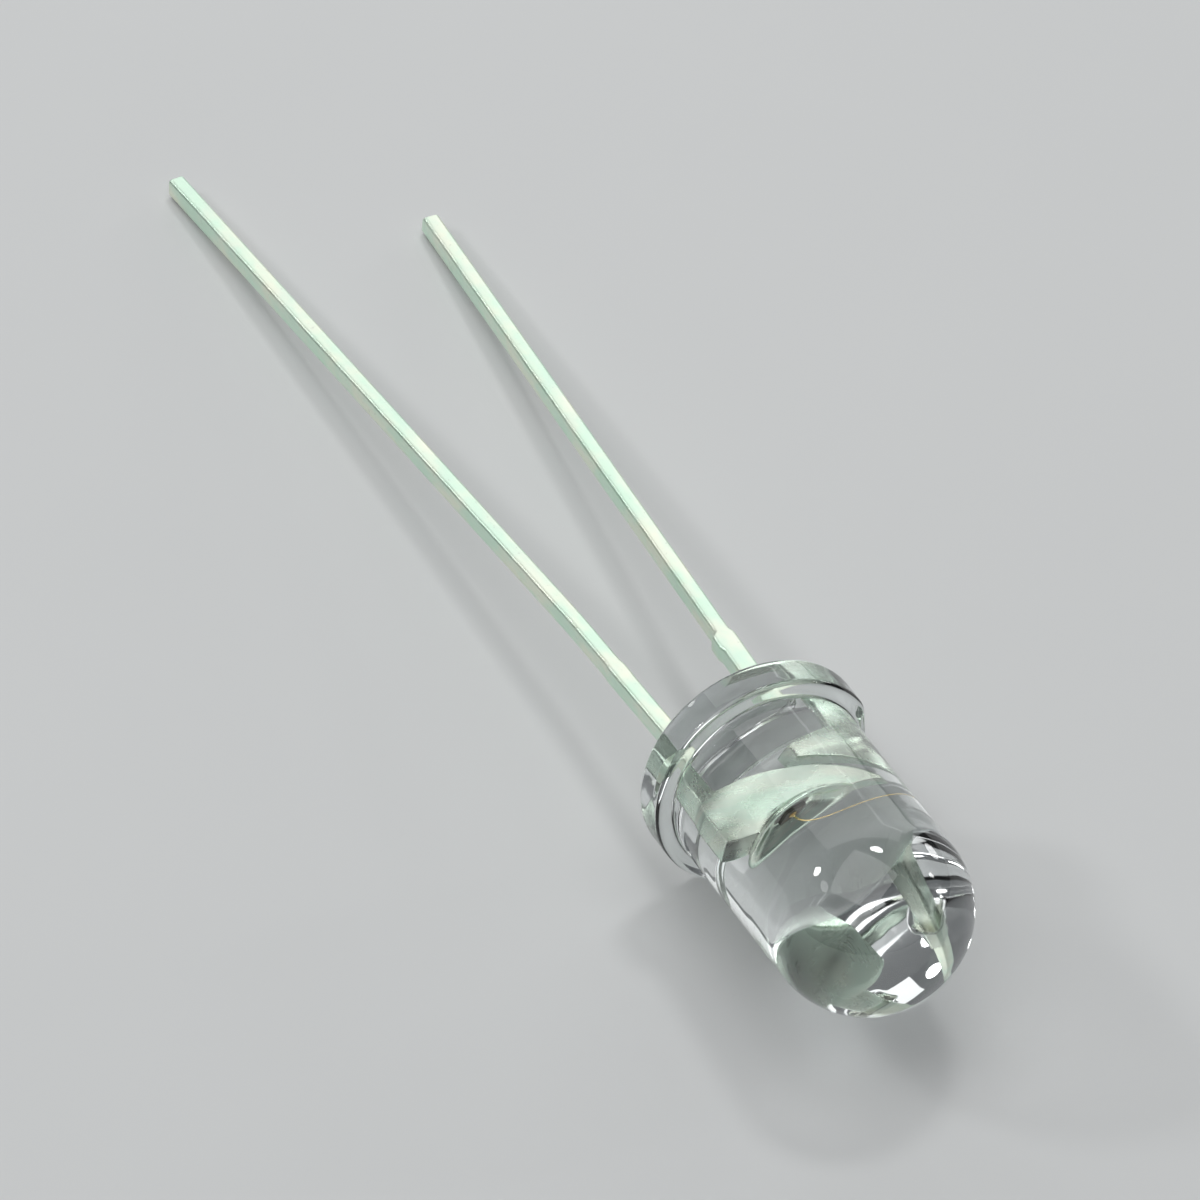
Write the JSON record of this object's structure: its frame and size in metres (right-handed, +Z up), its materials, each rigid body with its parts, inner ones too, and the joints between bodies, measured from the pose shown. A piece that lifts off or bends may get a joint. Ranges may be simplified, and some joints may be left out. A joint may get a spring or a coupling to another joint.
{
  "type": "through hole led",
  "caption": "Round water-clear epoxy LED: domed barrel on a flange with a cathode flat, a longer anode lead and a shorter cathode lead, lying at rest.",
  "frame": {"origin": "centre of the seating face, the flat underside of the flange", "axes": "the part lies at rest on its flange's rim and both lead ends; +X is level, below the dome's way, +Y is level, towards the cathode lead, +Z is up"},
  "size_m": [0.0339, 0.0057, 0.0061],
  "materials": {
    "clear_epoxy": "gloss",
    "tinned_steel": "satin",
    "chip": "satin",
    "silver_adhesive": "satin",
    "gold": "polished"
  },
  "bodies": {
    "root": {"epoxy_lens": "clear_epoxy", "cathode_lead": "tinned_steel", "anode_lead": "tinned_steel", "led_die": "chip", "die_attach": "silver_adhesive", "bond_wire": "gold"}
  },
  "joints": []
}
